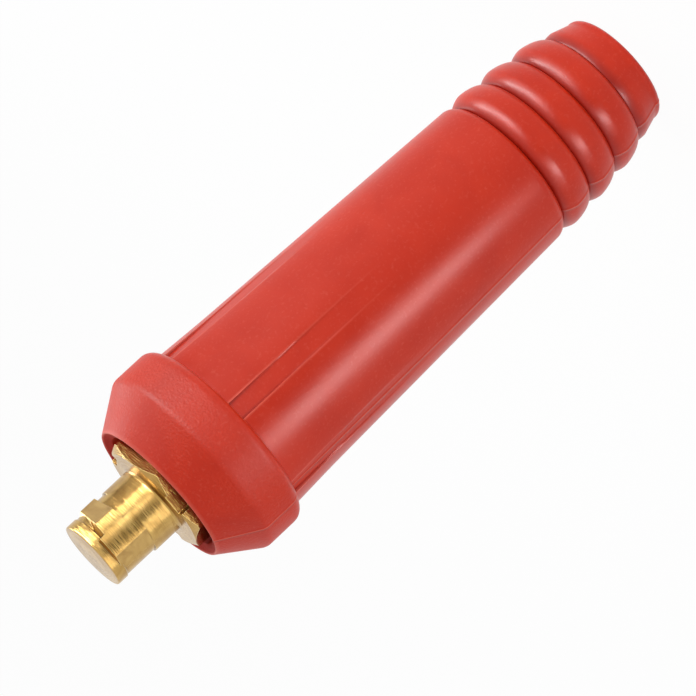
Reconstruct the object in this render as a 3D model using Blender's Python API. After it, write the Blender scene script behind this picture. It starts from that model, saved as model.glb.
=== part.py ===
"""Welding cable plug: a brass bayonet contact held in a moulded rubber boot.

The plug stands on the flat cable end of its boot, with its nose up.
Frame: metres, +Z from the cable end to the nose, origin at the centre of the cable end's face.
The nose's locking lug faces -Y. A bearing in degrees is counted from -Y towards -X.
"""
import math

import bmesh
import bpy
from mathutils import Matrix, Vector

mm = 0.001

# Gaps between neighbouring pieces
seat_gap = 0.3 * mm
thread_gap = 0.3 * mm
barrel_gap = 0.4 * mm
mouth_gap = 0.3 * mm

# Contact: nose and locking lug
nose_length = 9.95 * mm
nose_diameter = 8.75 * mm
rim_diameter = 9.05 * mm
rim_length = 1.45 * mm
rim_chamfer = 0.2 * mm
nose_root_fillet = 0.5 * mm
land_diameter = 9.2 * mm
land_sweep = 176.0
lug_height = 1.0 * mm
lug_flat_proud = 0.05 * mm
lug_bearing = -2.75
lug_flat_angle = 58.75
lug_heel_angle = 82.0
lug_step_angle = -6.0
lug_long_start = 0.95 * mm
lug_long_end = 6.05 * mm
lug_short_start = 1.4 * mm
lug_short_end = 4.8 * mm
lug_helix_rise = 0.6 * mm
lug_long_chamfer = 0.25 * mm
lug_short_chamfer = 0.55 * mm

# Contact: hexagonal flange, turned round at its corners, with notches down alternate flats
flange_across_flats = 14.3 * mm
flange_diameter = 16.2 * mm
flange_thickness = 4.55 * mm
flange_face_diameter = 14.2 * mm
flange_chamfer_angle = 33.0
flange_back_chamfer = 0.3 * mm
flange_corner_bearing = -11.5
flange_proud = 0.85 * mm
notch_count = 3
notch_width = 2.9 * mm
notch_floor = 6.2 * mm
notch_corner = 0.35 * mm

# Contact: clamping barrel
barrel_diameter = 13.5 * mm
barrel_length = 30.8 * mm
barrel_chamfer = 0.5 * mm
cable_bore_diameter = 7.6 * mm
cable_bore_depth = 24.0 * mm
cable_bore_chamfer = 0.6 * mm
drill_point_angle = 118.0

# Clamp screws, in a row along the barrel
screw_count = 2
screw_bearing = 0.0
screw_hole_diameter = 6.0 * mm
first_screw_from_end = 6.5 * mm
screw_pitch = 8.0 * mm
screw_sunk = 0.1 * mm
screw_chamfer = 0.4 * mm
screw_socket_across_flats = 3.0 * mm
screw_socket_depth = 1.5 * mm

# Ferrule: a rolled sheet sleeve that spreads the screws' grip over the strands
ferrule_wall = 0.4 * mm
ferrule_length = 18.0 * mm
ferrule_slit = 1.4 * mm
ferrule_inset = 1.0 * mm

# Boot: outside, from the lip back to the cable end
boot_length = 77.9 * mm
lip_wall = 1.3 * mm
lip_edge = 0.15 * mm
lip_dish = 0.6 * mm
cone_length = 5.3 * mm
collar_diameter = 26.65 * mm
collar_band_length = 4.3 * mm
collar_front_edge = 0.5 * mm
collar_back_length = 1.45 * mm
collar_step = 1.375 * mm
grip_flare_length = 6.7 * mm
grip_flare_drop = 0.35 * mm
grip_rear_diameter = 20.6 * mm
shoulder_length = 1.3 * mm

# Boot: bend relief rings and end band
ring_pitch = 4.8 * mm
groove_diameters = (18.5 * mm, 18.3 * mm, 17.4 * mm, 16.3 * mm)
ring_heights = (1.25 * mm, 1.2 * mm, 1.12 * mm)
ring_crest_share = 0.4
ring_front_fullness = 1.5
ring_back_fullness = 2.0
band_length = 4.85 * mm
band_diameter = 16.9 * mm
band_crest_setback = 1.4 * mm
band_rear_diameter = 15.5 * mm
end_edge = 0.75 * mm
end_edge_tilt = 20.0

# Boot: shallow channels along the grip, three to each half of the mould
channel_bearing = -4.0
channel_spread = 63.8
channel_width = 2.45 * mm
channel_depth = 0.4 * mm
channel_slope_angle = 1.3

# Boot: inside
bore_end_gap = 1.0 * mm
throat_diameter = 10.0 * mm
throat_edge = 0.4 * mm

# Sides of the flange and of the screws' sockets
hexagon_sides = 6

# Facets round each turned shape, and along each arc
boot_facets = 48
contact_facets = 48
small_facets = 24
arc_facets = 5

# Places worked out from the sizes above
lip_z = boot_length
flange_face_z = lip_z + flange_proud
nose_tip_z = flange_face_z + nose_length
flange_back_z = flange_face_z - flange_thickness
barrel_end_z = flange_back_z - barrel_length
seat_z = flange_back_z - seat_gap
half_side = 180.0 / hexagon_sides
flange_radius = flange_diameter / 2
flange_corner_radius = flange_across_flats / 2 / math.cos(math.radians(half_side))
mouth_radius = flange_radius + mouth_gap
lip_radius = mouth_radius + lip_wall
collar_radius = collar_diameter / 2
grip_front_radius = collar_radius - collar_step
bore_radius = barrel_diameter / 2 + barrel_gap
bore_end_z = barrel_end_z - bore_end_gap
collar_front_z = lip_z - cone_length
collar_back_z = collar_front_z - collar_band_length
grip_front_z = collar_back_z - collar_back_length
groove_levels = [band_length + ring_pitch * i for i in reversed(range(len(groove_diameters)))]
shoulder_z = groove_levels[0] + shoulder_length


def clear_scene():
    for obj in list(bpy.data.objects):
        bpy.data.objects.remove(obj, do_unlink=True)


def make_material(name, colour, roughness, metallic):
    material = bpy.data.materials.new(name)
    material.use_nodes = True
    shader = material.node_tree.nodes["Principled BSDF"]
    shader.inputs["Base Color"].default_value = (*colour, 1.0)
    shader.inputs["Roughness"].default_value = roughness
    shader.inputs["Metallic"].default_value = metallic
    return material


def direction(bearing):
    """Unit vector in the XY plane: 0 is -Y, and positive bearings turn towards -X."""
    angle = math.radians(bearing)
    return Vector((-math.sin(angle), -math.cos(angle), 0.0))


def arc(centre, radius, start, end, steps=arc_facets):
    """Points (r, z) on an arc, with its angles in degrees from the outward radial direction."""
    points = []
    for i in range(steps + 1):
        angle = math.radians(start + (end - start) * i / steps)
        points.append((centre[0] + radius * math.cos(angle), centre[1] + radius * math.sin(angle)))
    return points


def ring_section(front, back, height):
    """Points (r, z) of one ring: an easy front slope, a crest, and a fuller back to the next groove."""
    places = []
    power = 2 / ring_front_fullness
    for i in range(1, arc_facets):
        angle = math.radians(90.0 * i / (arc_facets - 1))
        fall = max(math.cos(angle), 0.0) ** power
        places.append((ring_crest_share * (1 - fall), math.sin(angle) ** power))
    power = 2 / ring_back_fullness
    for i in range(1, arc_facets):
        angle = math.radians(90.0 * i / arc_facets)
        along = ring_crest_share + (1 - ring_crest_share) * math.sin(angle) ** power
        places.append((along, math.cos(angle) ** power))
    points = []
    for along, share in places:
        radius = front[0] + (back[0] - front[0]) * along + height * share
        points.append((radius, front[1] + (back[1] - front[1]) * along))
    return points + [back]


def new_object(name, bm, material=None):
    mesh = bpy.data.meshes.new(name)
    bmesh.ops.recalc_face_normals(bm, faces=bm.faces)
    bm.to_mesh(mesh)
    bm.free()
    obj = bpy.data.objects.new(name, mesh)
    bpy.context.collection.objects.link(obj)
    if material:
        mesh.materials.append(material)
        mesh.shade_smooth()
        mesh.set_sharp_from_angle(angle=math.radians(30.0))
    return obj


def new_tool(name, bm):
    """A cutter or an addition that only the Boolean modifiers use."""
    obj = new_object(name, bm)
    obj.hide_render = True
    obj.display_type = "WIRE"
    return obj


def revolve(profile, facets):
    """Turns a closed outline of (r, z) points round the Z axis."""
    bm = bmesh.new()
    verts = [bm.verts.new((0.0, -r, z)) for r, z in profile]
    edges = [bm.edges.new((verts[i - 1], verts[i])) for i in range(len(verts))]
    bmesh.ops.spin(
        bm, geom=verts + edges, axis=(0, 0, 1), cent=(0, 0, 0),
        angle=2 * math.pi, steps=facets, use_merge=True,
    )
    bmesh.ops.remove_doubles(bm, verts=bm.verts, dist=1e-7)
    lone_edges = [edge for edge in bm.edges if not edge.link_faces]
    bmesh.ops.delete(bm, geom=lone_edges, context="EDGES")
    return bm


def prism(outline, low, high):
    """Extrudes a closed outline of XY points from low to high, each a height or a list of heights."""
    lows = low if isinstance(low, list) else [low] * len(outline)
    highs = high if isinstance(high, list) else [high] * len(outline)
    bm = bmesh.new()
    bottom = [bm.verts.new((point[0], point[1], z)) for point, z in zip(outline, lows)]
    top = [bm.verts.new((point[0], point[1], z)) for point, z in zip(outline, highs)]
    for i in range(len(outline)):
        bm.faces.new((bottom[i - 1], bottom[i], top[i], top[i - 1]))
    bm.faces.new(bottom[::-1])
    bm.faces.new(top)
    return bm


def boolean(obj, tool, operation):
    modifier = obj.modifiers.new(tool.name, "BOOLEAN")
    modifier.operation = operation
    modifier.solver = "EXACT"
    modifier.object = tool


def boot_outside():
    """The boot's outline from the lip back to the cable end, as (r, z)."""
    points = [(lip_radius - lip_edge, lip_z), (lip_radius, lip_z - lip_edge)]

    cone_slope = (collar_radius - lip_radius) / cone_length
    points.append((collar_radius - collar_front_edge * cone_slope, collar_front_z + collar_front_edge))
    points.append((collar_radius, collar_front_z - collar_front_edge))
    points.append((collar_radius, collar_back_z))

    for i in range(1, 4):
        angle = math.radians(90.0 * i / 4)
        points.append((
            grip_front_radius + collar_step * math.cos(angle),
            collar_back_z - collar_back_length * math.sin(angle),
        ))
    points.append((grip_front_radius, grip_front_z))

    points.append((grip_front_radius - grip_flare_drop, grip_front_z - grip_flare_length))
    shoulder_radius = grip_rear_diameter / 2
    points.append((shoulder_radius, shoulder_z))
    groove_radius = groove_diameters[0] / 2
    for i in range(1, arc_facets):
        angle = math.radians(75.0 * i / arc_facets)
        points.append((
            groove_radius + (shoulder_radius - groove_radius) * math.cos(angle),
            shoulder_z - shoulder_length * math.sin(angle),
        ))
    return points


def boot_rings():
    """The bend relief rings and the end band, from the first groove to the cable end, as (r, z)."""
    grooves = [(diameter / 2, z) for diameter, z in zip(groove_diameters, groove_levels)]
    points = [grooves[0]]
    for i, height in enumerate(ring_heights):
        points += ring_section(grooves[i], grooves[i + 1], height)
    crest_z = band_length - band_crest_setback
    rise = band_diameter / 2 - grooves[-1][0]
    for i in range(1, 4):
        angle = math.radians(90.0 * i / 3)
        points.append((grooves[-1][0] + rise * math.sin(angle), crest_z + band_crest_setback * math.cos(angle)))
    end_radius = band_rear_diameter / 2
    points += arc((end_radius - end_edge, end_edge), end_edge, end_edge_tilt, -90.0)
    return points


def boot_inside():
    """The boot's cavity from the cable end back up to the mouth, as (r, z)."""
    throat_radius = throat_diameter / 2
    return [
        (throat_radius + throat_edge, 0.0),
        (throat_radius, throat_edge),
        (throat_radius, bore_end_z - (bore_radius - throat_radius)),
        (bore_radius, bore_end_z),
        (bore_radius, seat_z),
        (mouth_radius, seat_z),
        (mouth_radius, lip_z - lip_dish),
    ]


def channel_bearings():
    """Three channels on one mould half, and the same three on the half turned by 180 degrees."""
    half = [channel_bearing + channel_spread * i for i in (-1, 0, 1)]
    return half + [bearing + 180.0 for bearing in half]


def channel_cutter():
    """Wedges whose flat floors run out of the tapering grip towards the cable end."""
    floor_radius = grip_front_radius - channel_depth
    length = grip_front_z - shoulder_z
    drop = length * math.tan(math.radians(channel_slope_angle))
    outer = collar_radius
    bm = bmesh.new()
    for bearing in channel_bearings():
        out = direction(bearing)
        side = Vector((-out.y, out.x, 0.0)) * (channel_width / 2)
        corners = [
            (floor_radius, grip_front_z), (outer, grip_front_z),
            (outer, grip_front_z - length), (floor_radius - drop, grip_front_z - length),
        ]
        left = [bm.verts.new(out * r + side + Vector((0, 0, z))) for r, z in corners]
        right = [bm.verts.new(out * r - side + Vector((0, 0, z))) for r, z in corners]
        bm.faces.new(left)
        bm.faces.new(right[::-1])
        for i in range(4):
            bm.faces.new((left[i - 1], left[i], right[i], right[i - 1]))
    return bm


def make_boot(rubber):
    profile = boot_outside() + boot_rings() + boot_inside()
    boot = new_object("rubber_boot", revolve(profile, boot_facets), rubber)
    boolean(boot, new_tool("channel_cutter", channel_cutter()), "DIFFERENCE")
    return boot


def contact_profile():
    """The turned contact from the nose's centre down to its bore's bottom, as (r, z)."""
    nose_radius = nose_diameter / 2
    rim_radius = rim_diameter / 2
    face_radius = flange_face_diameter / 2
    edge_drop = (flange_radius - face_radius) * math.tan(math.radians(flange_chamfer_angle))
    barrel_radius = barrel_diameter / 2
    cable_radius = cable_bore_diameter / 2
    bore_bottom_z = barrel_end_z + cable_bore_depth
    drill_tip = cable_radius / math.tan(math.radians(drill_point_angle / 2))
    points = [
        (0.0, nose_tip_z),
        (rim_radius - rim_chamfer, nose_tip_z),
        (rim_radius, nose_tip_z - rim_chamfer),
        (rim_radius, nose_tip_z - rim_length),
        (nose_radius, nose_tip_z - rim_length - (rim_radius - nose_radius)),
    ]
    fillet_centre = (nose_radius + nose_root_fillet, flange_face_z + nose_root_fillet)
    points += arc(fillet_centre, nose_root_fillet, 180.0, 270.0, 3)
    points += [
        (face_radius, flange_face_z),
        (flange_radius, flange_face_z - edge_drop),
        (flange_radius, flange_back_z + flange_back_chamfer),
        (flange_radius - flange_back_chamfer, flange_back_z),
        (barrel_radius, flange_back_z),
        (barrel_radius, barrel_end_z + barrel_chamfer),
        (barrel_radius - barrel_chamfer, barrel_end_z),
        (cable_radius + cable_bore_chamfer, barrel_end_z),
        (cable_radius, barrel_end_z + cable_bore_chamfer),
        (cable_radius, bore_bottom_z),
        (0.0, bore_bottom_z + drill_tip),
    ]
    return points


def hexagon(radius, first_bearing):
    return [direction(first_bearing - 2 * half_side * i) * radius for i in range(hexagon_sides)]


def flats_cutter():
    """A ring with a hexagonal hole, which leaves the flange's six flats."""
    outer = hexagon(flange_corner_radius * 1.3, flange_corner_bearing)
    inner = hexagon(flange_corner_radius, flange_corner_bearing)
    low = flange_back_z - seat_gap
    high = flange_face_z + seat_gap
    bm = bmesh.new()
    rings = []
    for outline in (outer, inner):
        for z in (low, high):
            rings.append([bm.verts.new((point.x, point.y, z)) for point in outline])
    outer_low, outer_high, inner_low, inner_high = rings
    for a, b in ((outer_low, outer_high), (outer_high, inner_high), (inner_high, inner_low), (inner_low, outer_low)):
        for i in range(hexagon_sides):
            bm.faces.new((a[i - 1], a[i], b[i], b[i - 1]))
    return bm


def notch_cutter():
    """Keyways down alternate flats of the flange, with rounded corners at their floors."""
    low = flange_back_z - seat_gap
    high = flange_face_z + seat_gap
    half = notch_width / 2
    corner = arc((half - notch_corner, notch_floor + notch_corner), notch_corner, -90.0, 0.0, 3)
    outline = corner + [(half, flange_corner_radius), (-half, flange_corner_radius)]
    outline += [(-across, reach) for across, reach in reversed(corner)]
    bm = bmesh.new()
    for i in range(notch_count):
        out = direction(flange_corner_bearing + half_side + 360.0 / notch_count * i)
        side = Vector((-out.y, out.x, 0.0))
        bottom = [bm.verts.new(out * reach + side * across + Vector((0, 0, low))) for across, reach in outline]
        top = [bm.verts.new(out * reach + side * across + Vector((0, 0, high))) for across, reach in outline]
        bm.faces.new(bottom)
        bm.faces.new(top[::-1])
        for k in range(len(outline)):
            bm.faces.new((bottom[k - 1], bottom[k], top[k], top[k - 1]))
    return bm


def land_part():
    """A raised land round the half of the nose away from the lug, from the flange to the lug's end."""
    radius = land_diameter / 2
    steps = contact_facets // 2
    first = lug_bearing + 180.0 - land_sweep / 2
    outline = [direction(first + land_sweep * i / steps) * radius for i in range(steps + 1)]
    bm = prism([Vector((0.0, 0.0, 0.0))] + outline, flange_face_z - seat_gap, nose_tip_z - lug_long_end)
    bmesh.ops.triangulate(bm, faces=bm.faces)
    return bm


def lug_outline(first, last, crown_radius, flat_radius):
    """Section points (r, bearing from the lug's middle): the crown, then a flat down to each side."""
    crown_half = lug_flat_angle - math.degrees(math.acos(flat_radius / crown_radius))
    heel_radius = flat_radius / math.cos(math.radians(lug_heel_angle - lug_flat_angle))
    crown_first = max(first, -crown_half)
    crown_last = min(last, crown_half)
    steps = 6
    crown = [(crown_radius, crown_first + (crown_last - crown_first) * i / steps) for i in range(steps + 1)]
    heel = [(heel_radius, -lug_heel_angle), (flat_radius, -lug_flat_angle)] if first < -crown_half else []
    foot = [(flat_radius, lug_flat_angle)] if last > crown_half else []
    return heel + crown + foot


def lug_part(name, first, last, start, end, chamfer, rise):
    """One step of the lug; start and end count from the nose's tip, and rise tilts its front."""
    base_radius = nose_diameter / 2
    crown_radius = base_radius + lug_height
    points = lug_outline(first, last, crown_radius, base_radius + lug_flat_proud)
    bearings = [angle for _, angle in points]
    sweep = bearings[-1] - bearings[0]
    fronts = [nose_tip_z - start - rise * (bearings[-1] - angle) / sweep for angle in bearings]

    bm = bmesh.new()
    rows = []
    for shrink, drop in ((0.0, None), (0.0, chamfer), (1.0, 0.0)):
        row = []
        for (radius, angle), front in zip(points, fronts):
            height = nose_tip_z - end if drop is None else front - drop
            reach = radius - shrink * (radius - base_radius)
            place = direction(lug_bearing + angle) * reach
            row.append(bm.verts.new((place.x, place.y, height)))
        rows.append(row)
    low_axis = bm.verts.new((0.0, 0.0, nose_tip_z - end))
    high_axis = bm.verts.new((0.0, 0.0, min(fronts) - chamfer))
    for lower, upper in zip(rows, rows[1:]):
        for i in range(len(points) - 1):
            bm.faces.new((lower[i], lower[i + 1], upper[i + 1], upper[i]))
    for i in range(len(points) - 1):
        bm.faces.new((rows[0][i + 1], rows[0][i], low_axis))
        bm.faces.new((rows[2][i], rows[2][i + 1], high_axis))
    for i in (0, -1):
        bm.faces.new((low_axis, rows[0][i], rows[1][i], rows[2][i], high_axis))
    bmesh.ops.remove_doubles(bm, verts=bm.verts, dist=1e-7)
    bmesh.ops.triangulate(bm, faces=bm.faces)
    return new_tool(name, bm)


def screw_height(index):
    return barrel_end_z + first_screw_from_end + screw_pitch * index


def screw_frame(index):
    """Places +Z of a screw's own frame along its bearing, out of the barrel."""
    out = direction(screw_bearing)
    turn = Vector((0, 0, 1)).rotation_difference(out).to_matrix().to_4x4()
    return Matrix.Translation((0.0, 0.0, screw_height(index))) @ turn


def screw_hole_cutter(index):
    bm = bmesh.new()
    reach = barrel_diameter / 2 + seat_gap
    bmesh.ops.create_cone(
        bm, segments=small_facets, radius1=screw_hole_diameter / 2, radius2=screw_hole_diameter / 2,
        depth=reach, cap_ends=True, matrix=Matrix.Translation((0.0, 0.0, reach / 2)),
    )
    bmesh.ops.transform(bm, matrix=screw_frame(index), verts=bm.verts)
    return new_tool(f"screw_hole_cutter_{index + 1}", bm)


def make_contact(brass):
    contact = new_object("brass_contact", revolve(contact_profile(), contact_facets), brass)
    boolean(contact, new_tool("flats_cutter", flats_cutter()), "DIFFERENCE")
    boolean(contact, new_tool("notch_cutter", notch_cutter()), "DIFFERENCE")
    boolean(contact, new_tool("land_part", land_part()), "UNION")
    long_lug = lug_part(
        "lug_long_part", lug_step_angle, lug_flat_angle,
        lug_long_start, lug_long_end, lug_long_chamfer, 0.0)
    short_lug = lug_part(
        "lug_short_part", -lug_flat_angle, lug_step_angle,
        lug_short_start, lug_short_end, lug_short_chamfer, lug_helix_rise)
    boolean(contact, long_lug, "UNION")
    boolean(contact, short_lug, "UNION")
    for index in range(screw_count):
        boolean(contact, screw_hole_cutter(index), "DIFFERENCE")
    return contact


def make_screw(index, steel):
    """A headless clamp screw with a hexagonal socket, its point just clear of the ferrule."""
    radius = screw_hole_diameter / 2 - thread_gap
    tip = cable_bore_diameter / 2
    head = barrel_diameter / 2 - screw_sunk
    profile = [
        (0.0, tip), (radius - screw_chamfer, tip), (radius, tip + screw_chamfer),
        (radius, head - screw_chamfer), (radius - screw_chamfer, head), (0.0, head),
    ]
    screw = new_object(f"clamp_screw_{index + 1}", revolve(profile, small_facets), steel)
    socket_radius = screw_socket_across_flats / 2 / math.cos(math.radians(half_side))
    socket = new_tool(
        f"socket_cutter_{index + 1}",
        prism(hexagon(socket_radius, 0.0), head - screw_socket_depth, head + seat_gap))
    boolean(screw, socket, "DIFFERENCE")
    for obj in (screw, socket):
        obj.matrix_world = screw_frame(index)
    return screw


def make_ferrule(copper):
    """A rolled sleeve in the cable bore, with its slit on the side away from the screws."""
    outer = cable_bore_diameter / 2 - seat_gap
    inner = outer - ferrule_wall
    slit_angle = math.degrees(ferrule_slit / outer)
    first = screw_bearing + 180.0 + slit_angle / 2
    sweep = 360.0 - slit_angle
    bearings = [first + sweep * i / small_facets for i in range(small_facets + 1)]
    outline = [direction(bearing) * outer for bearing in bearings]
    outline += [direction(bearing) * inner for bearing in reversed(bearings)]
    low = barrel_end_z + ferrule_inset
    bm = prism(outline, low, low + ferrule_length)
    bmesh.ops.triangulate(bm, faces=bm.faces)
    return new_object("cable_ferrule", bm, copper)


def main():
    clear_scene()
    rubber = make_material("red_rubber", (0.56, 0.045, 0.032), 0.55, 0.0)
    brass = make_material("turned_brass", (0.78, 0.56, 0.27), 0.28, 1.0)
    steel = make_material("zinc_plated_steel", (0.62, 0.63, 0.65), 0.35, 1.0)
    copper = make_material("copper_sheet", (0.82, 0.42, 0.27), 0.35, 1.0)
    make_boot(rubber)
    make_contact(brass)
    for index in range(screw_count):
        make_screw(index, steel)
    make_ferrule(copper)


main()
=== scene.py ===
"""Finished looks of the welding cable plug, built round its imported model.

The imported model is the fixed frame: metres, +Z from the cable end to the nose, the origin at
the centre of the cable end's face, and the nose's locking lug on the -Y side.
A bearing in degrees is counted from -Y towards -X.
"""

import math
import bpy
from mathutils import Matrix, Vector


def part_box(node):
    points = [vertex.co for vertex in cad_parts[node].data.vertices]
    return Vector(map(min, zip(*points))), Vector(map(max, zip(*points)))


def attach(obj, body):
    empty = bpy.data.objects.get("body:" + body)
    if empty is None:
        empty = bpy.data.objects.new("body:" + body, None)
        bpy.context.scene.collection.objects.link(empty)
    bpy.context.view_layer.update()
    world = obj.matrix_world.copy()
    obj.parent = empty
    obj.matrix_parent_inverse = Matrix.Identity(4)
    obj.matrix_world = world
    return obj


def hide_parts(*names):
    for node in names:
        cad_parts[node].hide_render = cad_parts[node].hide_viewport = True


bl_info = {
    "name": "Welding cable plug",
    "version": (1, 0, 0),
    "blender": (4, 5, 0),
    "location": "3D View > Sidebar > Plug",
    "description": "Builds a welding cable plug's finished pieces, camera, lamps and floor",
    "category": "Object",
}

from types import SimpleNamespace

import bmesh
import bpy
from bpy.props import FloatProperty, FloatVectorProperty, IntProperty, PointerProperty
from mathutils import Color, Matrix, Vector

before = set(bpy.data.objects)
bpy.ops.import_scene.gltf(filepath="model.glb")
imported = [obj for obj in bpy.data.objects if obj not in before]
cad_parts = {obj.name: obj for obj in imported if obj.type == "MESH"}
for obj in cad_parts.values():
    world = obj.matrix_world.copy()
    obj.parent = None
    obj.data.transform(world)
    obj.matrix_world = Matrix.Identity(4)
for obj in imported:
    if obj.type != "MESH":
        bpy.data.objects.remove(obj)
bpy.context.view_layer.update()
boot_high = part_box("rubber_boot")[1]
contact_low, contact_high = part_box("brass_contact")
ferrule_low, ferrule_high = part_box("cable_ferrule")

mm = 0.001
merge_distance = 1e-7
cutter_overshoot = 0.3 * mm

# Camera, as it was fitted to the photograph's outline
image_width = 696
focal_pixels = 4000.0
camera_place = Vector((-3.51, -464.04, 164.65)) * mm
camera_turn = (110.036, 134.919, 14.376)

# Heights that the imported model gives
lip_z = boot_high.z
nose_tip_z = contact_high.z
barrel_end_z = contact_low.z

# Boot: outside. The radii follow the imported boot
lip_radius = 9.7 * mm
lip_edge = 0.12 * mm
lip_dish = 0.6 * mm
lip_row_spacing = 0.25 * mm
cone_length = 5.3 * mm
collar_band_length = 4.3 * mm
collar_front_edge = 0.5 * mm
collar_back_length = 1.45 * mm
collar_step = 1.375 * mm
grip_foot_drop = 0.06 * mm
grip_flare_length = 6.7 * mm
grip_flare_drop = 0.35 * mm
grip_flare_bend = 2.0 * mm
grip_rear_radius = 10.3 * mm
shoulder_length = 1.3 * mm
shoulder_sweep = 75.0
ring_pitch = 4.8 * mm
groove_radii = (9.25 * mm, 9.15 * mm, 8.7 * mm, 8.15 * mm)
ring_heights = (1.25 * mm, 1.2 * mm, 1.12 * mm)
ring_crest_share = 0.4
ring_front_fullness = 1.5
ring_back_fullness = 2.0
groove_lip = 0.17 * mm
band_length = 4.85 * mm
band_radius = 8.45 * mm
band_crest_setback = 1.4 * mm
band_rear_radius = 7.75 * mm
end_edge = 0.75 * mm
end_edge_tilt = 20.0

# Boot: channels, with the mould's parting line down the middle of two of them.
# Shares are counted in half widths from a channel's middle
channel_bearing = -4.0
channel_spread = 63.8
channel_slope_angle = 1.3
channel_front_margin = 0.01 * mm
channel_wall_share = 0.05
channel_floor_shares = (0.42, 0.72)
# Past this share of a channel's half width, shade is painted into its corners
channel_corner_share = 0.8
channel_room = 13.0
# Share of the column beside a parting line, which gets painted shade
seam_share = 0.1

# Boot: how matt the collar's coarser skin is, where the plain skin is 0 and the inside is 1
collar_matt = 0.32

# Boot: how strongly highlights are painted on its edges and shade into its hollows, and how far
# each reaches
seam_painted_highlight = 1.2
# Pale lines painted as highlights at the grooves' lips and at the lip
groove_lip_painted_highlight = 0.9
groove_lip_highlight_reach = (0.6 * groove_lip, 1.6 * groove_lip)
lip_highlight_reach = 0.25 * mm
seam_painted_shade = 0.7
# Shade painted over the boot's whole inside
inside_painted_shade = 0.85
# Shade painted by the grooves, reaching far on their cable side and little on their nose side
painted_groove_shade_reach = 1.7 * mm
groove_lip_painted_shade_reach = 0.5 * groove_lip

# Boot: inside
mouth_radius = 8.4 * mm
bore_radius = 7.15 * mm
seat_z = 73.9 * mm
bore_end_z = 42.4 * mm
throat_radius = 5.0 * mm
throat_edge = 0.4 * mm

# Contact
flange_face_z = 78.75 * mm
flange_back_z = 74.2 * mm
nose_radius = 4.375 * mm
rim_radius = 4.525 * mm
rim_length = 1.45 * mm
rim_edge = 0.2 * mm
nose_root_fillet = 0.5 * mm
land_radius = 4.6 * mm
land_sweep = 176.0
land_ease = 30.0
lug_bearing = -2.75
lug_height = 1.0 * mm
lug_flat_proud = 0.05 * mm
lug_flat_angle = 58.75
lug_heel_angle = 82.0
lug_step_angle = -6.0
lug_long_start = 0.95 * mm
lug_long_end = 6.05 * mm
lug_short_start = 1.4 * mm
lug_short_end = 4.8 * mm
lug_helix_rise = 0.6 * mm
lug_long_chamfer = 0.25 * mm
lug_short_chamfer = 0.55 * mm
hexagon_sides = 6
hexagon_half_side = 180.0 / hexagon_sides
flange_across_flats = 14.3 * mm
flange_corner_radius = flange_across_flats / 2 / math.cos(math.radians(hexagon_half_side))
flange_radius = 8.1 * mm
flange_face_radius = 7.1 * mm
flange_chamfer_angle = 33.0
flange_back_chamfer = 0.3 * mm
flange_corner_bearing = -11.5
flats_cutter_share = 1.3
notch_count = 3
notch_width = 2.9 * mm
notch_floor = 6.2 * mm
notch_corner = 0.35 * mm
barrel_radius = 6.75 * mm
barrel_chamfer = 0.5 * mm
cable_bore_radius = 3.8 * mm
cable_bore_depth = 24.0 * mm
cable_bore_chamfer = 0.6 * mm
drill_point_angle = 118.0

# Clamp screws
screw_hole_radius = 3.0 * mm
screw_hole_overshoot = 0.5 * mm
screw_radius = 2.7 * mm
screw_heights = (barrel_end_z + 6.5 * mm, barrel_end_z + 14.5 * mm)
screw_head = 6.65 * mm
screw_tip = 3.8 * mm
screw_chamfer = 0.4 * mm
screw_socket_across_flats = 3.0 * mm
screw_socket_depth = 1.5 * mm
thread_fullness = 0.95

# Ferrule
ferrule_radius = 3.5 * mm
ferrule_slit = 1.4 * mm


def direction(bearing):
    """Unit vector in the XY plane: 0 is -Y, and positive bearings turn towards -X."""
    angle = math.radians(bearing)
    return Vector((-math.sin(angle), -math.cos(angle), 0.0))


def arc(centre, radius, start, end, steps, rise=None):
    """Points (r, z) on an arc, its angles in degrees from the outward radial direction.

    rise is the arc's radius along z, where that isn't the same.
    """
    rise = radius if rise is None else rise
    points = []
    for i in range(steps + 1):
        angle = math.radians(start + (end - start) * i / steps)
        points.append((centre[0] + radius * math.cos(angle), centre[1] + rise * math.sin(angle)))
    return points


def smooth_step(value):
    share = min(max(value, 0.0), 1.0)
    return share * share * (3.0 - 2.0 * share)


def paint(piece, finish):
    piece.data.materials.clear()
    piece.data.materials.append(finish)


def new_piece(name, mesh, finish=None):
    piece = bpy.data.objects.new(name, mesh)
    bpy.context.scene.collection.objects.link(piece)
    if finish:
        paint(piece, finish)
    return piece


def piece_from(name, bm, finish=None):
    """A piece made of a closed bmesh, with its faces turned outwards."""
    bmesh.ops.recalc_face_normals(bm, faces=bm.faces)
    mesh = bpy.data.meshes.new(name)
    bm.to_mesh(mesh)
    bm.free()
    return new_piece(name, mesh, finish)


def turn_faces_out(mesh, slivers=False):
    """Turns a closed mesh's faces outwards, after its slivers are removed where asked."""
    bm = bmesh.new()
    bm.from_mesh(mesh)
    if slivers:
        bmesh.ops.dissolve_degenerate(bm, edges=bm.edges, dist=merge_distance)
    bmesh.ops.recalc_face_normals(bm, faces=bm.faces)
    bm.to_mesh(mesh)
    bm.free()


def settle_modifiers(piece):
    """Works the piece's modifiers in, so that its mesh is plain."""
    bpy.context.view_layer.update()
    evaluated = piece.evaluated_get(bpy.context.evaluated_depsgraph_get())
    mesh = bpy.data.meshes.new_from_object(evaluated)
    piece.modifiers.clear()
    piece.data = mesh


def boolean(piece, tool, operation):
    modifier = piece.modifiers.new(tool.name, "BOOLEAN")
    modifier.operation = operation
    modifier.solver = "EXACT"
    modifier.object = tool


def remove_tools(tools):
    for tool in tools:
        bpy.data.objects.remove(tool, do_unlink=True)


def shade(piece, sharp_angle):
    piece.data.shade_smooth()
    piece.data.set_sharp_from_angle(angle=math.radians(sharp_angle))


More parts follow.
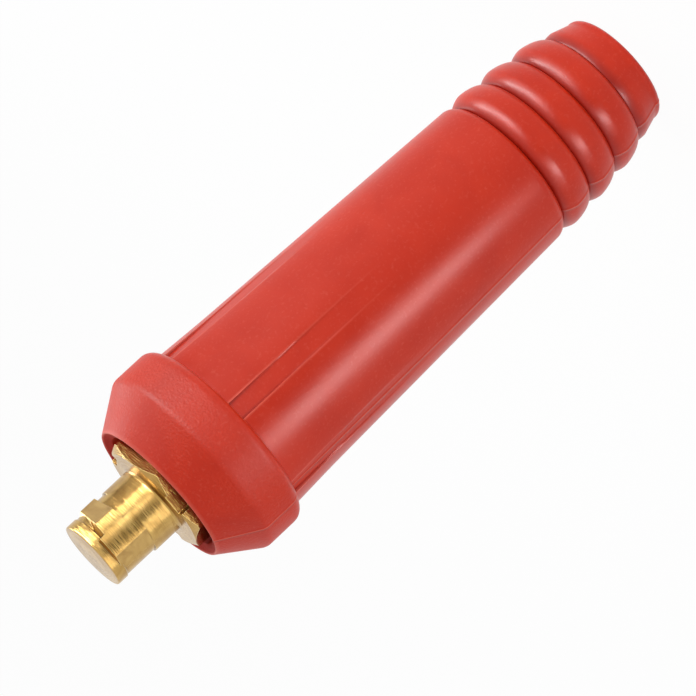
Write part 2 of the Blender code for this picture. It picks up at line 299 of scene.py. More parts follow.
def prism(outline, low, high):
    """Extrudes a closed outline of XY points from low to high."""
    bm = bmesh.new()
    bottom = [bm.verts.new((point[0], point[1], low)) for point in outline]
    top = [bm.verts.new((point[0], point[1], high)) for point in outline]
    for i in range(len(outline)):
        bm.faces.new((bottom[i - 1], bottom[i], top[i], top[i - 1]))
    bm.faces.new(bottom[::-1])
    bm.faces.new(top)
    return bm


def walled_ring(outer, inner, low, high, closed):
    """A ring between two outlines of XY points, from low to high; an open one gets two ends."""
    bm = bmesh.new()
    rings = []
    for outline in (outer, inner):
        for z in (low, high):
            rings.append([bm.verts.new((point.x, point.y, z)) for point in outline])
    outer_low, outer_high, inner_low, inner_high = rings
    round_the_wall = (outer_low, outer_high, inner_high, inner_low, outer_low)
    for a, b in zip(round_the_wall, round_the_wall[1:]):
        for i in range(0 if closed else 1, len(outer)):
            bm.faces.new((a[i - 1], a[i], b[i], b[i - 1]))
    if not closed:
        for i in (0, -1):
            bm.faces.new((outer_low[i], outer_high[i], inner_high[i], inner_low[i]))
    return bm


# Nodes


def feed(tree, node, values):
    """Feeds a node's inputs by name or number: an output is linked, a plain value is set."""
    for key, value in values.items():
        socket = node.inputs[key]
        if isinstance(value, bpy.types.NodeSocket):
            tree.links.new(value, socket)
        elif value is not None:
            socket.default_value = (*value, 1.0) if isinstance(value, Color) else value


def add_node(tree, kind, values=None, **settings):
    """A new node, with its own settings and with values fed to its inputs."""
    node = tree.nodes.new(kind)
    for name, value in settings.items():
        setattr(node, name, value)
    feed(tree, node, values or {})
    return node


def maths(tree, operation, *values):
    """A Math node; each value is a socket or a number. Returns its output."""
    node = add_node(tree, "ShaderNodeMath", dict(enumerate(values)), operation=operation)
    return node.outputs[0]


def new_tree(name, kind, inputs, outputs):
    """A node tree and what its input node gives.

    Each socket's name comes with its kind, or with the number that it starts from.
    """
    tree = bpy.data.node_groups.new(name, kind)
    for in_out, sockets in (("INPUT", inputs), ("OUTPUT", outputs)):
        for socket_name, value in sockets.items():
            named_kind = isinstance(value, str)
            socket_type = f"NodeSocket{value}" if named_kind else "NodeSocketFloat"
            socket = tree.interface.new_socket(
                name=socket_name, in_out=in_out, socket_type=socket_type)
            if not named_kind:
                socket.default_value = value
    return tree, add_node(tree, "NodeGroupInput").outputs


def shared_tree(name):
    return bpy.data.node_groups.get(name) or tree_builders[name](name)


# Geometry Nodes


def end_tree(tree, geometry, finish):
    """Realizes what the tree has made and gives it its material."""
    realize = add_node(tree, "GeometryNodeRealizeInstances", {"Geometry": geometry})
    painted = add_node(
        tree, "GeometryNodeSetMaterial",
        {"Geometry": realize.outputs["Geometry"], "Material": finish})
    add_node(tree, "NodeGroupOutput", {0: painted.outputs["Geometry"]})


def turned_tree(name):
    """Turns a closed outline, whose points lie in order in the XZ plane, round the Z axis."""
    tree, given = new_tree(
        name, "GeometryNodeTree",
        {"Outline": "Geometry", "Facets": "Int", "Finish": "Material"}, {"Body": "Geometry"})
    size = add_node(
        tree, "GeometryNodeAttributeDomainSize", {"Geometry": given["Outline"]}, component="MESH")
    count = size.outputs["Point Count"]
    rows = maths(tree, "ADD", count, 1.0)
    columns = maths(tree, "ADD", given["Facets"], 1.0)
    grid = add_node(tree, "GeometryNodeMeshGrid", {"Vertices X": columns, "Vertices Y": rows})

    index = add_node(tree, "GeometryNodeInputIndex").outputs["Index"]
    row = maths(tree, "MODULO", index, rows)
    column = maths(tree, "FLOOR", maths(tree, "DIVIDE", index, rows))
    place = add_node(tree, "GeometryNodeInputPosition").outputs["Position"]
    sample = add_node(
        tree, "GeometryNodeSampleIndex",
        {"Geometry": given["Outline"], "Value": place, "Index": maths(tree, "MODULO", row, count)},
        data_type="FLOAT_VECTOR", domain="POINT")

    share = maths(tree, "DIVIDE", column, given["Facets"])
    turn = add_node(
        tree, "ShaderNodeVectorRotate",
        {"Vector": sample.outputs["Value"], "Angle": maths(tree, "MULTIPLY", share, 2 * math.pi)},
        rotation_type="Z_AXIS")
    moved = add_node(
        tree, "GeometryNodeSetPosition",
        {"Geometry": grid.outputs["Mesh"], "Position": turn.outputs["Vector"]})
    merged = add_node(
        tree, "GeometryNodeMergeByDistance",
        {"Geometry": moved.outputs["Geometry"], "Distance": merge_distance})
    end_tree(tree, merged.outputs["Geometry"], given["Finish"])
    return tree


def thread_tree(name):
    """A thread: a ridge of six-sided section that follows a spiral up the Z axis."""
    tree, given = new_tree(
        name, "GeometryNodeTree",
        {
            "Turns": 3.0, "Length": 2.0 * mm, "Core Radius": 2.4 * mm, "Ridge": 0.3 * mm,
            "Finish": "Material",
        },
        {"Thread": "Geometry"})
    spiral = add_node(tree, "GeometryNodeCurveSpiral", {
        "Resolution": 48, "Rotations": given["Turns"], "Height": given["Length"],
        "Start Radius": given["Core Radius"], "End Radius": given["Core Radius"],
    })
    ridge = add_node(
        tree, "GeometryNodeCurvePrimitiveCircle", {"Resolution": 6, "Radius": given["Ridge"]})
    swept = add_node(tree, "GeometryNodeCurveToMesh", {
        "Curve": spiral.outputs["Curve"], "Profile Curve": ridge.outputs["Curve"],
        "Fill Caps": True,
    })
    end_tree(tree, swept.outputs["Mesh"], given["Finish"])
    return tree


def grow(piece, name, values):
    """Runs a shared Geometry Nodes tree on a piece, with the tree's inputs set by name."""
    modifier = piece.modifiers.new(name, "NODES")
    modifier.node_group = shared_tree(name)
    identifiers = {
        item.name: item.identifier for item in modifier.node_group.interface.items_tree
        if item.item_type == "SOCKET" and item.in_out == "INPUT"
    }
    for socket_name, value in values.items():
        modifier[identifiers[socket_name]] = value
    settle_modifiers(piece)


def turn_outline(name, points, facets, finish):
    """A closed body of revolution, with its normals outwards."""
    mesh = bpy.data.meshes.new(name)
    mesh.from_pydata([(r, 0.0, z) for r, z in points], [], [])
    piece = new_piece(name, mesh)
    grow(piece, "Turned body", {"Facets": facets, "Finish": finish})
    turn_faces_out(piece.data, slivers=True)
    return piece


# Finishes


def noise(tree, vector, scale, detail, distortion=None):
    values = {"Vector": vector, "Scale": scale, "Detail": detail, "Distortion": distortion}
    return add_node(tree, "ShaderNodeTexNoise", values).outputs["Fac"]


def ramp(tree, value, low, high, low_value=0.0, high_value=1.0, kind="LINEAR"):
    """Maps a value from low..high to low_value..high_value and holds it there."""
    node = add_node(
        tree, "ShaderNodeMapRange",
        {
            "Value": value, "From Min": low, "From Max": high,
            "To Min": low_value, "To Max": high_value,
        },
        interpolation_type=kind)
    return node.outputs["Result"]


def bump(tree, height, distance, strength, normal=None):
    values = {"Height": height, "Distance": distance, "Strength": strength, "Normal": normal}
    return add_node(tree, "ShaderNodeBump", values).outputs["Normal"]


def blend_colours(tree, share, first, second):
    values = {"Factor": share, "A": first, "B": second}
    return add_node(tree, "ShaderNodeMix", values, data_type="RGBA").outputs["Result"]


def surface_mask(tree, name):
    return add_node(tree, "ShaderNodeAttribute", attribute_name=name).outputs["Fac"]


def moulded_grain_tree(name):
    """Fine grain, soft mottling and small pits of a moulded surface."""
    tree, given = new_tree(
        name, "ShaderNodeTree",
        {
            "Vector": "Vector", "Grain Scale": 2600.0, "Mottle Scale": 140.0,
            "Pit Scale": 520.0, "Pit Reach": 0.16,
        },
        {"Grain": "Float", "Mottle": "Float", "Pits": "Float"})
    place = given["Vector"]
    grain = noise(tree, place, given["Grain Scale"], 3.0)
    mottle = noise(tree, place, given["Mottle Scale"], 4.0, 0.6)
    pits = add_node(
        tree, "ShaderNodeTexVoronoi", {"Vector": place, "Scale": given["Pit Scale"]}, feature="F1")
    reach = ramp(tree, pits.outputs["Distance"], 0.0, given["Pit Reach"], 1.0, 0.0, "SMOOTHSTEP")
    patch = ramp(tree, mottle, 0.52, 0.66, kind="SMOOTHSTEP")
    found = maths(tree, "MULTIPLY", reach, patch)
    add_node(tree, "NodeGroupOutput", {"Grain": grain, "Mottle": mottle, "Pits": found})
    return tree


def turning_marks_tree(name):
    """Fine rings that a lathe tool leaves: the pattern changes only with radius and height."""
    tree, given = new_tree(
        name, "ShaderNodeTree",
        {"Vector": "Vector", "Scale": 9000.0, "Wander": 0.06},
        {"Marks": "Float", "Bands": "Float"})
    split = add_node(tree, "ShaderNodeSeparateXYZ", {"Vector": given["Vector"]}).outputs
    across = add_node(tree, "ShaderNodeCombineXYZ", {"X": split["X"], "Y": split["Y"]})
    radius = add_node(
        tree, "ShaderNodeVectorMath", {0: across.outputs["Vector"]}, operation="LENGTH")
    turned = add_node(tree, "ShaderNodeCombineXYZ", {
        "X": radius.outputs["Value"], "Y": maths(tree, "MULTIPLY", split["X"], given["Wander"]),
        "Z": split["Z"],
    }).outputs["Vector"]
    broad_scale = maths(tree, "MULTIPLY", given["Scale"], 0.16)
    marks = noise(tree, turned, given["Scale"], 2.0)
    bands = noise(tree, turned, broad_scale, 1.0)
    add_node(tree, "NodeGroupOutput", {"Marks": marks, "Bands": bands})
    return tree


def edge_rub_tree(name):
    """A mask along sharp edges, from how far a rounded normal leans from the plain one."""
    tree, given = new_tree(
        name, "ShaderNodeTree",
        {"Rounded Normal": "Vector", "Break Up": 0.5, "Reach": 0.12}, {"Edges": "Float"})
    plain = add_node(tree, "ShaderNodeNewGeometry").outputs["Normal"]
    lean = add_node(
        tree, "ShaderNodeVectorMath", {0: plain, 1: given["Rounded Normal"]},
        operation="DOT_PRODUCT")
    away = maths(tree, "SUBTRACT", 1.0, lean.outputs["Value"])
    paleness = maths(tree, "MULTIPLY", away, maths(tree, "ADD", 0.5, given["Break Up"]))
    edges = ramp(tree, paleness, 0.0, given["Reach"], kind="SMOOTHSTEP")
    add_node(tree, "NodeGroupOutput", {"Edges": edges})
    return tree


tree_builders = {
    "Turned body": turned_tree,
    "Screw thread": thread_tree,
    "Moulded grain": moulded_grain_tree,
    "Turning marks": turning_marks_tree,
    "Edge rub": edge_rub_tree,
}


def place_group(tree, name, **values):
    """A shared node group in a material, with this material's own values. Returns its outputs."""
    values = {key.replace("_", " "): value for key, value in values.items()}
    return add_node(tree, "ShaderNodeGroup", values, node_tree=shared_tree(name)).outputs


def new_finish(name):
    finish = bpy.data.materials.new(name)
    finish.use_nodes = True
    return finish, finish.node_tree, finish.node_tree.nodes["Principled BSDF"]


def object_place(tree):
    return add_node(tree, "ShaderNodeTexCoord").outputs["Object"]


def red_rubber(settings):
    """Satin moulded rubber: grain, soft mottling, pits, highlights painted pale on its edges, shade
    painted into its hollows.
    """
    finish, tree, shader = new_finish("satin_red_rubber")
    place = object_place(tree)
    grain = place_group(tree, "Moulded grain", Vector=place)
    mottled = blend_colours(
        tree, ramp(tree, grain["Mottle"], 0.35, 0.65),
        settings.rubber_shade, settings.rubber_colour)
    dusted = blend_colours(
        tree, ramp(tree, grain["Grain"], 0.55, 0.75, 0.0, 0.16), mottled, settings.rubber_bloom_and_highlight)
    # Highlights painted pale along the edges, the lip and the parting lines
    paled = blend_colours(
        tree, maths(tree, "MULTIPLY", surface_mask(tree, "rub"), 0.75),
        dusted, settings.rubber_bloom_and_highlight)
    # Shade painted into the grooves, the channels' corners, beside the parting lines and over the
    # inside
    hollow = blend_colours(
        tree, maths(tree, "MULTIPLY", surface_mask(tree, "hollow"), 0.7),
        paled, settings.rubber_painted_shade)

    matt = surface_mask(tree, "matt")
    roughness = ramp(tree, grain["Mottle"], 0.3, 0.7, 0.29, 0.37)
    pitted = maths(tree, "SUBTRACT", maths(tree, "MULTIPLY", grain["Grain"], 0.35), grain["Pits"])
    smooth_skin = bump(tree, pitted, 0.05 * mm, 0.6)
    speckle = noise(tree, place, 3200.0, 1.0)
    patches = ramp(tree, grain["Mottle"], 0.42, 0.58, 0.35, 1.0)
    coarse = ramp(tree, matt, 0.0, collar_matt)
    height = maths(tree, "MULTIPLY", speckle, maths(tree, "MULTIPLY", coarse, patches))
    feed(tree, shader, {
        "Base Color": hollow,
        "Specular IOR Level": 0.27,
        "Roughness": maths(tree, "MULTIPLY_ADD", matt, 0.5, roughness),
        "Normal": bump(tree, height, 0.08 * mm, 0.8, smooth_skin),
    })
    return finish


def turned_brass(settings):
    """Bright turned brass: lathe rings, brighter rubbed edges, a warm stain in patches and shade
    painted into its corners.
    """
    finish, tree, shader = new_finish("bright_turned_brass")
    place = object_place(tree)
    marks = place_group(tree, "Turning marks", Vector=place, Scale=6000.0)
    grain = place_group(
        tree, "Moulded grain", Vector=place, Grain_Scale=3200.0, Mottle_Scale=420.0)
    rounded = add_node(
        tree, "ShaderNodeBevel", {"Radius": 0.06 * mm}, samples=6).outputs["Normal"]
    edges = place_group(tree, "Edge rub", Rounded_Normal=rounded, Break_Up=grain["Mottle"])
    stained = blend_colours(
        tree, ramp(tree, grain["Mottle"], 0.42, 0.62, 0.0, 0.4),
        settings.brass_colour, settings.brass_stain)
    banded = blend_colours(
        tree, ramp(tree, marks["Bands"], 0.4, 0.7, 0.0, 0.3), stained, settings.brass_stain)
    bright = blend_colours(tree, edges["Edges"], banded, settings.brass_edge)
    # Shade painted into the contact's corners, from ambient occlusion
    crevice = add_node(
        tree, "ShaderNodeAmbientOcclusion", {"Distance": 0.45 * mm}, samples=6, only_local=True)
    corner_shaded = blend_colours(
        tree, ramp(tree, crevice.outputs["AO"], 0.5, 0.9, 0.9, 0.0), bright, settings.brass_painted_shade)
    ringed = bump(tree, marks["Marks"], 0.035 * mm, 0.8, rounded)
    feed(tree, shader, {
        "Base Color": corner_shaded,
        "Metallic": 1.0,
        "Roughness": ramp(tree, marks["Marks"], 0.3, 0.7, 0.16, 0.27),
        "Normal": bump(tree, grain["Grain"], 0.01 * mm, 0.4, ringed),
    })
    return finish


def dress_metal(tree, shader, base_colour, grain, roughness, depth, strength):
    """A plain metal: its colour, and a grain that sets its roughness and its relief."""
    feed(tree, shader, {
        "Base Color": base_colour,
        "Metallic": 1.0,
        "Roughness": ramp(tree, grain, 0.3, 0.7, *roughness),
        "Normal": bump(tree, grain, depth, strength),
    })


def plated_steel(settings):
    """Zinc plated steel: a bright grey with a faint cloudiness and small tool marks."""
    finish, tree, shader = new_finish("zinc_plate")
    grain = place_group(
        tree, "Moulded grain", Vector=object_place(tree), Grain_Scale=5200.0, Mottle_Scale=700.0)
    clouded = blend_colours(
        tree, ramp(tree, grain["Mottle"], 0.35, 0.65), settings.zinc_colour, settings.zinc_cloud)
    dress_metal(tree, shader, clouded, grain["Grain"], (0.26, 0.42), 0.01 * mm, 0.4)
    return finish


def rolled_copper(settings):
    """Rolled copper sheet: long rolling streaks and a darker bloom."""
    finish, tree, shader = new_finish("rolled_copper")
    place = object_place(tree)
    stretch = add_node(tree, "ShaderNodeMapping", {"Vector": place, "Scale": (1.0, 1.0, 0.06)})
    streaks = place_group(
        tree, "Moulded grain", Vector=stretch.outputs["Vector"], Grain_Scale=4200.0)
    bloom = place_group(tree, "Moulded grain", Vector=place, Mottle_Scale=260.0)
    bloomed = blend_colours(
        tree, ramp(tree, bloom["Mottle"], 0.4, 0.65),
        settings.copper_colour, settings.copper_bloom)
    dress_metal(tree, shader, bloomed, streaks["Grain"], (0.26, 0.44), 0.015 * mm, 0.5)
    return finish


# Boot


def ring_section(front, back, height, steps=12):
    """Points (r, z) of one ring: an easy front slope, a crest, and a fuller back."""
    places = []
    power = 2 / ring_front_fullness
    for i in range(1, steps):
        angle = math.radians(90.0 * i / (steps - 1))
        fall = max(math.cos(angle), 0.0) ** power
        places.append((ring_crest_share * (1 - fall), math.sin(angle) ** power))
    power = 2 / ring_back_fullness
    for i in range(1, steps):
        angle = math.radians(90.0 * i / steps)
        along = ring_crest_share + (1 - ring_crest_share) * math.sin(angle) ** power
        places.append((along, math.cos(angle) ** power))
    points = []
    for along, share in places:
        radius = front[0] + (back[0] - front[0]) * along + height * share
        points.append((radius, front[1] + (back[1] - front[1]) * along))
    return points + [back]


def divided(start, end, step):
    """Points from start, left out, to end, about a step apart."""
    count = max(1, round(math.dist(start, end) / step))
    return [
        (start[0] + (end[0] - start[0]) * i / count, start[1] + (end[1] - start[1]) * i / count)
        for i in range(1, count + 1)
    ]


def rounded_corner(before, corner, after, reach, steps=4):
    """Points of a soft bend that starts and ends a reach away from the corner."""
    corner, before, after = Vector(corner), Vector(before), Vector(after)
    start = corner + (before - corner).normalized() * reach
    end = corner + (after - corner).normalized() * reach
    points = []
    for i in range(steps + 1):
        share = i / steps
        point = start * (1 - share) ** 2 + corner * 2 * share * (1 - share) + end * share ** 2
        points.append((point.x, point.y))
    return points


def boot_levels(settings):
    """Heights and radii of the boot, worked out from its sizes."""
    collar_front = lip_z - cone_length
    collar_back = collar_front - collar_band_length
    collar_radius = settings.collar_diameter / 2
    groove_heights = [band_length + ring_pitch * i for i in reversed(range(len(groove_radii)))]
    return SimpleNamespace(
        collar_front=collar_front,
        collar_back=collar_back,
        grip_front=collar_back - collar_back_length,
        grooves=list(zip(groove_radii, groove_heights)),
        shoulder=groove_heights[0] + shoulder_length,
        collar_radius=collar_radius,
        grip_radius=collar_radius - collar_step,
        channel_floor=collar_radius - collar_step - settings.channel_depth,
    )


def boot_outline(settings, level):
    """The boot's whole outline as (r, z), and how many of its first points are outside."""
    grip_radius = level.grip_radius
    row = settings.row_spacing
    lip = (lip_radius, lip_z)
    inner_lip = (mouth_radius, lip_z - lip_dish)
    front_corner = (level.collar_radius, level.collar_front)
    back_corner = (level.collar_radius, level.collar_back)
    points = rounded_corner(inner_lip, lip, front_corner, lip_edge)
    bend = rounded_corner(lip, front_corner, back_corner, collar_front_edge, 6)
    points += divided(points[-1], bend[0], row)[:-1] + bend
    points += divided(points[-1], back_corner, row)
    collar_foot = (grip_radius, level.collar_back)
    points += arc(collar_foot, collar_step, 0.0, 90.0, 12, -collar_back_length)[1:]
    wall_foot = (grip_radius, level.grip_front - grip_foot_drop)
    flare_end = (grip_radius - grip_flare_drop, level.grip_front - grip_flare_length)
    shoulder = (grip_rear_radius, level.shoulder)
    points.append(wall_foot)
    flare_bend = rounded_corner(wall_foot, flare_end, shoulder, grip_flare_bend)
    points += divided(points[-1], flare_bend[0], row)[:-1] + flare_bend
    points += divided(points[-1], shoulder, row)
    first_groove = level.grooves[0]
    last_groove = level.grooves[-1]
    shoulder_foot = (first_groove[0], level.shoulder)
    shoulder_step = grip_rear_radius - first_groove[0]
    points += arc(shoulder_foot, shoulder_step, 0.0, shoulder_sweep, 9, -shoulder_length)[1:-1]

    points += divided(points[-1], first_groove, groove_lip)
    for front, back, height in zip(level.grooves, level.grooves[1:], ring_heights):
        points += ring_section(front, back, height)
    crest_foot = (last_groove[0], band_length - band_crest_setback)
    rise = band_radius - last_groove[0]
    points += arc(crest_foot, rise, 90.0, 0.0, 6, band_crest_setback)[1:]
    end_centre = (band_rear_radius - end_edge, end_edge)
    end_curve = arc(end_centre, end_edge, end_edge_tilt, -90.0, 8)
    points += divided(points[-1], end_curve[0], row)[:-1] + end_curve
    outside = len(points)

    throat_end = (throat_radius, 0.0)
    throat_wall = (throat_radius, throat_edge * 2)
    points += rounded_corner(end_curve[-1], throat_end, throat_wall, throat_edge)
    cone_start = (throat_radius, bore_end_z - (bore_radius - throat_radius))
    seat_corner = (mouth_radius, seat_z)
    points += divided(points[-1], cone_start, 4 * row)
    points += [(bore_radius, bore_end_z), (bore_radius, seat_z), seat_corner]
    points += rounded_corner(seat_corner, inner_lip, lip, lip_edge)
    points += divided(points[-1], points[0], lip_row_spacing)[:-1]
    return points, outside


def column_bearings(settings, radius):
    """Bearings of the mesh's columns at a radius, each with its share of a channel and its seam."""
    half = math.degrees(math.asin(settings.channel_width / 2 / radius))
    wall_shares = (1 - channel_wall_share, 1 + channel_wall_share)
    right_shares = [seam_share, *channel_floor_shares, *wall_shares]
    shares = [-share for share in reversed(right_shares)] + [0.0] + right_shares
    front_half = [channel_bearing + channel_spread * i for i in (-1, 0, 1)]
    bearings = front_half + [bearing + 180.0 for bearing in front_half]
    columns = []
    for i, bearing in enumerate(bearings):
        seam = i % len(front_half) == len(front_half) - 1
        columns += [(bearing + share * half, share, seam) for share in shares]
        following = bearings[(i + 1) % len(bearings)]
        gap = (following - bearing) % 360.0
        count = round((gap - channel_room) / settings.column_spacing)
        start = bearing + shares[-1] * half
        room = gap - 2 * shares[-1] * half
        columns += [(start + room * k / count, None, False) for k in range(1, count)]
    return columns


def painted_edge_highlight(point, level):
    """How strongly a highlight is painted as a pale line on a point: at the lip, and at each
    groove's lip on its nose side.
    """
    paleness = 1.0 - smooth_step(math.dist(point, (lip_radius, lip_z)) / lip_highlight_reach)
    nearest, farthest = groove_lip_highlight_reach
    for groove in level.grooves:
        if point[1] > groove[1] and nearest < math.dist(point, groove) < farthest:
            paleness = groove_lip_painted_highlight
    return paleness


def painted_groove_shade(point, level):
    """How much shade is painted on a point by a groove between the relief rings: it reaches far on
    the groove's cable side and little on its nose side.
    """
    deepest = 0.0
    for groove in level.grooves:
        reach = painted_groove_shade_reach if point[1] < groove[1] else groove_lip_painted_shade_reach
        deepest = max(deepest, 1.0 - smooth_step(math.dist(point, groove) / reach))
    return deepest


def channel_skin(settings, level, point, share, seam):
    """How far out a point at a channel reaches, and how much highlight and shade are painted on it.
    """
    radius, z = point
    reach = radius
    paleness = 0.0
    painted_dark = 0.0
    if level.shoulder < z < level.grip_front - channel_front_margin:
        slope = math.tan(math.radians(channel_slope_angle))
        floor = level.channel_floor - (level.grip_front - z) * slope
        if abs(share) < 1.0:
            flat = math.hypot(floor, share * settings.channel_width / 2)
            depth = max(radius - flat, 0.0)
            reach = radius - depth
            if abs(share) > channel_corner_share:
                # Shade painted into the channel's corners, darker where the channel is deeper
                painted_dark = min(depth / settings.channel_depth, 1.0)
        else:
            # A highlight painted along the channel's edges, stronger where the channel is deeper
            paleness = min(max(radius - floor, 0.0) / settings.channel_depth, 1.0)
    # The parting line gets a painted highlight, and the column beside it painted shade
    if seam and share == 0.0:
        reach += settings.seam_height
        paleness = seam_painted_highlight
    elif seam and share == seam_share:
        painted_dark = max(painted_dark, seam_painted_shade)
    return reach, paleness, painted_dark


def make_boot_mesh(settings):
    """The moulded boot as one grid of rows and columns, with its channels and parting lines."""
    level = boot_levels(settings)
    points, outside = boot_outline(settings, level)
    verts = []
    # Masks of the highlights painted on the rubber, of the shade painted on it, and of how matt it
    # is
    masks = {"rub": [], "hollow": [], "matt": []}
    columns = []
    for i, point in enumerate(points):
        radius, z = point
        outer = i < outside
        columns = column_bearings(settings, radius if outer else grip_rear_radius)
        # Highlight painted on the row's edges, and shade painted by the grooves outside or all over
        # the inside
        edge = painted_edge_highlight(point, level) if outer else 0.0
        shadow = painted_groove_shade(point, level) if outer else inside_painted_shade
        on_collar = smooth_step((z - level.grip_front) / collar_back_length)
        for bearing, share, seam in columns:
            reach, paleness, painted_dark = radius, 0.0, 0.0
            if outer and share is not None:
                reach, paleness, painted_dark = channel_skin(settings, level, point, share, seam)
            place = direction(bearing) * reach
            verts.append((place.x, place.y, z))
            masks["rub"].append(max(paleness, edge))
            masks["hollow"].append(max(painted_dark, shadow))
            masks["matt"].append(collar_matt * on_collar if outer else 1.0)
    width = len(columns)
    rows = len(points)
    faces = []
    for i in range(rows):
        here = i * width
        below = (i + 1) % rows * width
        for k in range(width):
            right = (k + 1) % width
            faces.append((here + k, here + right, below + right, below + k))
    mesh = bpy.data.meshes.new("moulded_boot")
    mesh.from_pydata(verts, [], faces)
    for name, values in masks.items():
        mesh.attributes.new(name, "FLOAT", "POINT").data.foreach_set("value", values)
    turn_faces_out(mesh)
    return mesh


# Contact


def contact_outline():
    """The turned contact from the nose's centre down to its bore's bottom, as (r, z)."""
    chamfer = math.radians(flange_chamfer_angle)
    edge_drop = (flange_radius - flange_face_radius) * math.tan(chamfer)
    bore_bottom_z = barrel_end_z + cable_bore_depth
    drill_tip = cable_bore_radius / math.tan(math.radians(drill_point_angle / 2))
    nose_centre = (0.0, nose_tip_z)
    rim_foot = (rim_radius, nose_tip_z - rim_length)
    fillet_centre = (nose_radius + nose_root_fillet, flange_face_z + nose_root_fillet)
    return [
        nose_centre,
        *rounded_corner(nose_centre, (rim_radius, nose_tip_z), rim_foot, rim_edge),
        rim_foot,
        (nose_radius, nose_tip_z - rim_length - (rim_radius - nose_radius)),
        *arc(fillet_centre, nose_root_fillet, 180.0, 270.0, 8),
        (flange_face_radius, flange_face_z),
        (flange_radius, flange_face_z - edge_drop),
        (flange_radius, flange_back_z + flange_back_chamfer),
        (flange_radius - flange_back_chamfer, flange_back_z),
        (barrel_radius, flange_back_z),
        (barrel_radius, barrel_end_z + barrel_chamfer),
        (barrel_radius - barrel_chamfer, barrel_end_z),
        (cable_bore_radius + cable_bore_chamfer, barrel_end_z),
        (cable_bore_radius, barrel_end_z + cable_bore_chamfer),
        (cable_bore_radius, bore_bottom_z),
        (0.0, bore_bottom_z + drill_tip),
    ]


def hexagon(radius, first_bearing):
    side = 2 * hexagon_half_side
    return [direction(first_bearing - side * i) * radius for i in range(hexagon_sides)]


def flats_cutter():
    """A ring with a hexagonal hole, which leaves the flange's six flats."""
    outer = hexagon(flange_corner_radius * flats_cutter_share, flange_corner_bearing)
    inner = hexagon(flange_corner_radius, flange_corner_bearing)
    low = flange_back_z - cutter_overshoot
    high = flange_face_z + cutter_overshoot
    return piece_from("flats_cutter", walled_ring(outer, inner, low, high, True))


def notch_cutters():
    """Keyways down alternate flats of the flange, with rounded corners at their floors."""
    half = notch_width / 2
    corner_centre = (half - notch_corner, notch_floor + notch_corner)
    corner = arc(corner_centre, notch_corner, -90.0, 0.0, 8)
    outline = corner + [(half, flange_corner_radius), (-half, flange_corner_radius)]
    outline += [(-across, reach) for across, reach in reversed(corner)]
    tools = []
    for i in range(notch_count):
        bearing = flange_corner_bearing + hexagon_half_side + 360.0 / notch_count * i
        out = direction(bearing)
        side = Vector((-out.y, out.x, 0.0))
        corners = [out * reach + side * across for across, reach in outline]
        bm = prism(corners, flange_back_z - cutter_overshoot, flange_face_z + cutter_overshoot)
        tools.append(piece_from(f"notch_cutter_{i}", bm))
    return tools


def land_part():
    """A raised land round the nose's side away from the lug, which eases into the nose."""
    steps = 72
    sweep = land_sweep + 2 * land_ease
    first = lug_bearing + 180.0 - sweep / 2
    outline = [Vector((0.0, 0.0, 0.0))]
    for i in range(steps + 1):
        angle = sweep * i / steps
        share = smooth_step(min(angle, sweep - angle) / land_ease)
        radius = nose_radius + (land_radius - nose_radius) * share
        outline.append(direction(first + angle) * radius)
    bm = prism(outline, flange_face_z - cutter_overshoot, nose_tip_z - lug_long_end)
    bmesh.ops.triangulate(bm, faces=bm.faces)
    return piece_from("land_part", bm)


def lug_section(first, last, crown_radius, flat_radius, steps=28):
    """Section points (r, bearing from the lug's middle): the crown, then a flat on each side."""
    crown_half = lug_flat_angle - math.degrees(math.acos(flat_radius / crown_radius))
    heel_radius = flat_radius / math.cos(math.radians(lug_heel_angle - lug_flat_angle))
    crown_first = max(first, -crown_half)
    crown_sweep = min(last, crown_half) - crown_first
    section = [(crown_radius, crown_first + crown_sweep * i / steps) for i in range(steps + 1)]
    if first < -crown_half:
        section = [(heel_radius, -lug_heel_angle), (flat_radius, -lug_flat_angle)] + section
    if last > crown_half:
        section.append((flat_radius, lug_flat_angle))
    return section


def lug_part(name, first, last, start, end, chamfer, rise):
    """One step of the lug; start and end count from the nose's tip, and rise tilts its front."""
    crown_radius = nose_radius + lug_height
    points = lug_section(first, last, crown_radius, nose_radius + lug_flat_proud)
    bearings = [angle for _, angle in points]
    sweep = bearings[-1] - bearings[0]
    fronts = [nose_tip_z - start - rise * (bearings[-1] - angle) / sweep for angle in bearings]
    bm = bmesh.new()
    rows = []
    for shrink, drop in ((0.0, None), (0.0, chamfer), (1.0, 0.0)):
        row = []
        for (radius, angle), front in zip(points, fronts):
            height = nose_tip_z - end if drop is None else front - drop
            reach = radius - shrink * (radius - nose_radius)
            place = direction(lug_bearing + angle) * reach
            row.append(bm.verts.new((place.x, place.y, height)))
        rows.append(row)
    low_axis = bm.verts.new((0.0, 0.0, nose_tip_z - end))
    high_axis = bm.verts.new((0.0, 0.0, min(fronts) - chamfer))
    for lower, upper in zip(rows, rows[1:]):
        for i in range(len(points) - 1):
            bm.faces.new((lower[i], lower[i + 1], upper[i + 1], upper[i]))
    for i in range(len(points) - 1):
        bm.faces.new((rows[0][i + 1], rows[0][i], low_axis))
        bm.faces.new((rows[2][i], rows[2][i + 1], high_axis))
    for i in (0, -1):
        bm.faces.new((low_axis, rows[0][i], rows[1][i], rows[2][i], high_axis))
    bmesh.ops.remove_doubles(bm, verts=bm.verts, dist=merge_distance)
    bmesh.ops.triangulate(bm, faces=bm.faces)
    return piece_from(name, bm)


def screw_frame(height):
    """Places +Z of a screw's own frame along -Y, out of the barrel."""
    turn = Vector((0, 0, 1)).rotation_difference(direction(0.0)).to_matrix().to_4x4()
    return Matrix.Translation((0.0, 0.0, height)) @ turn


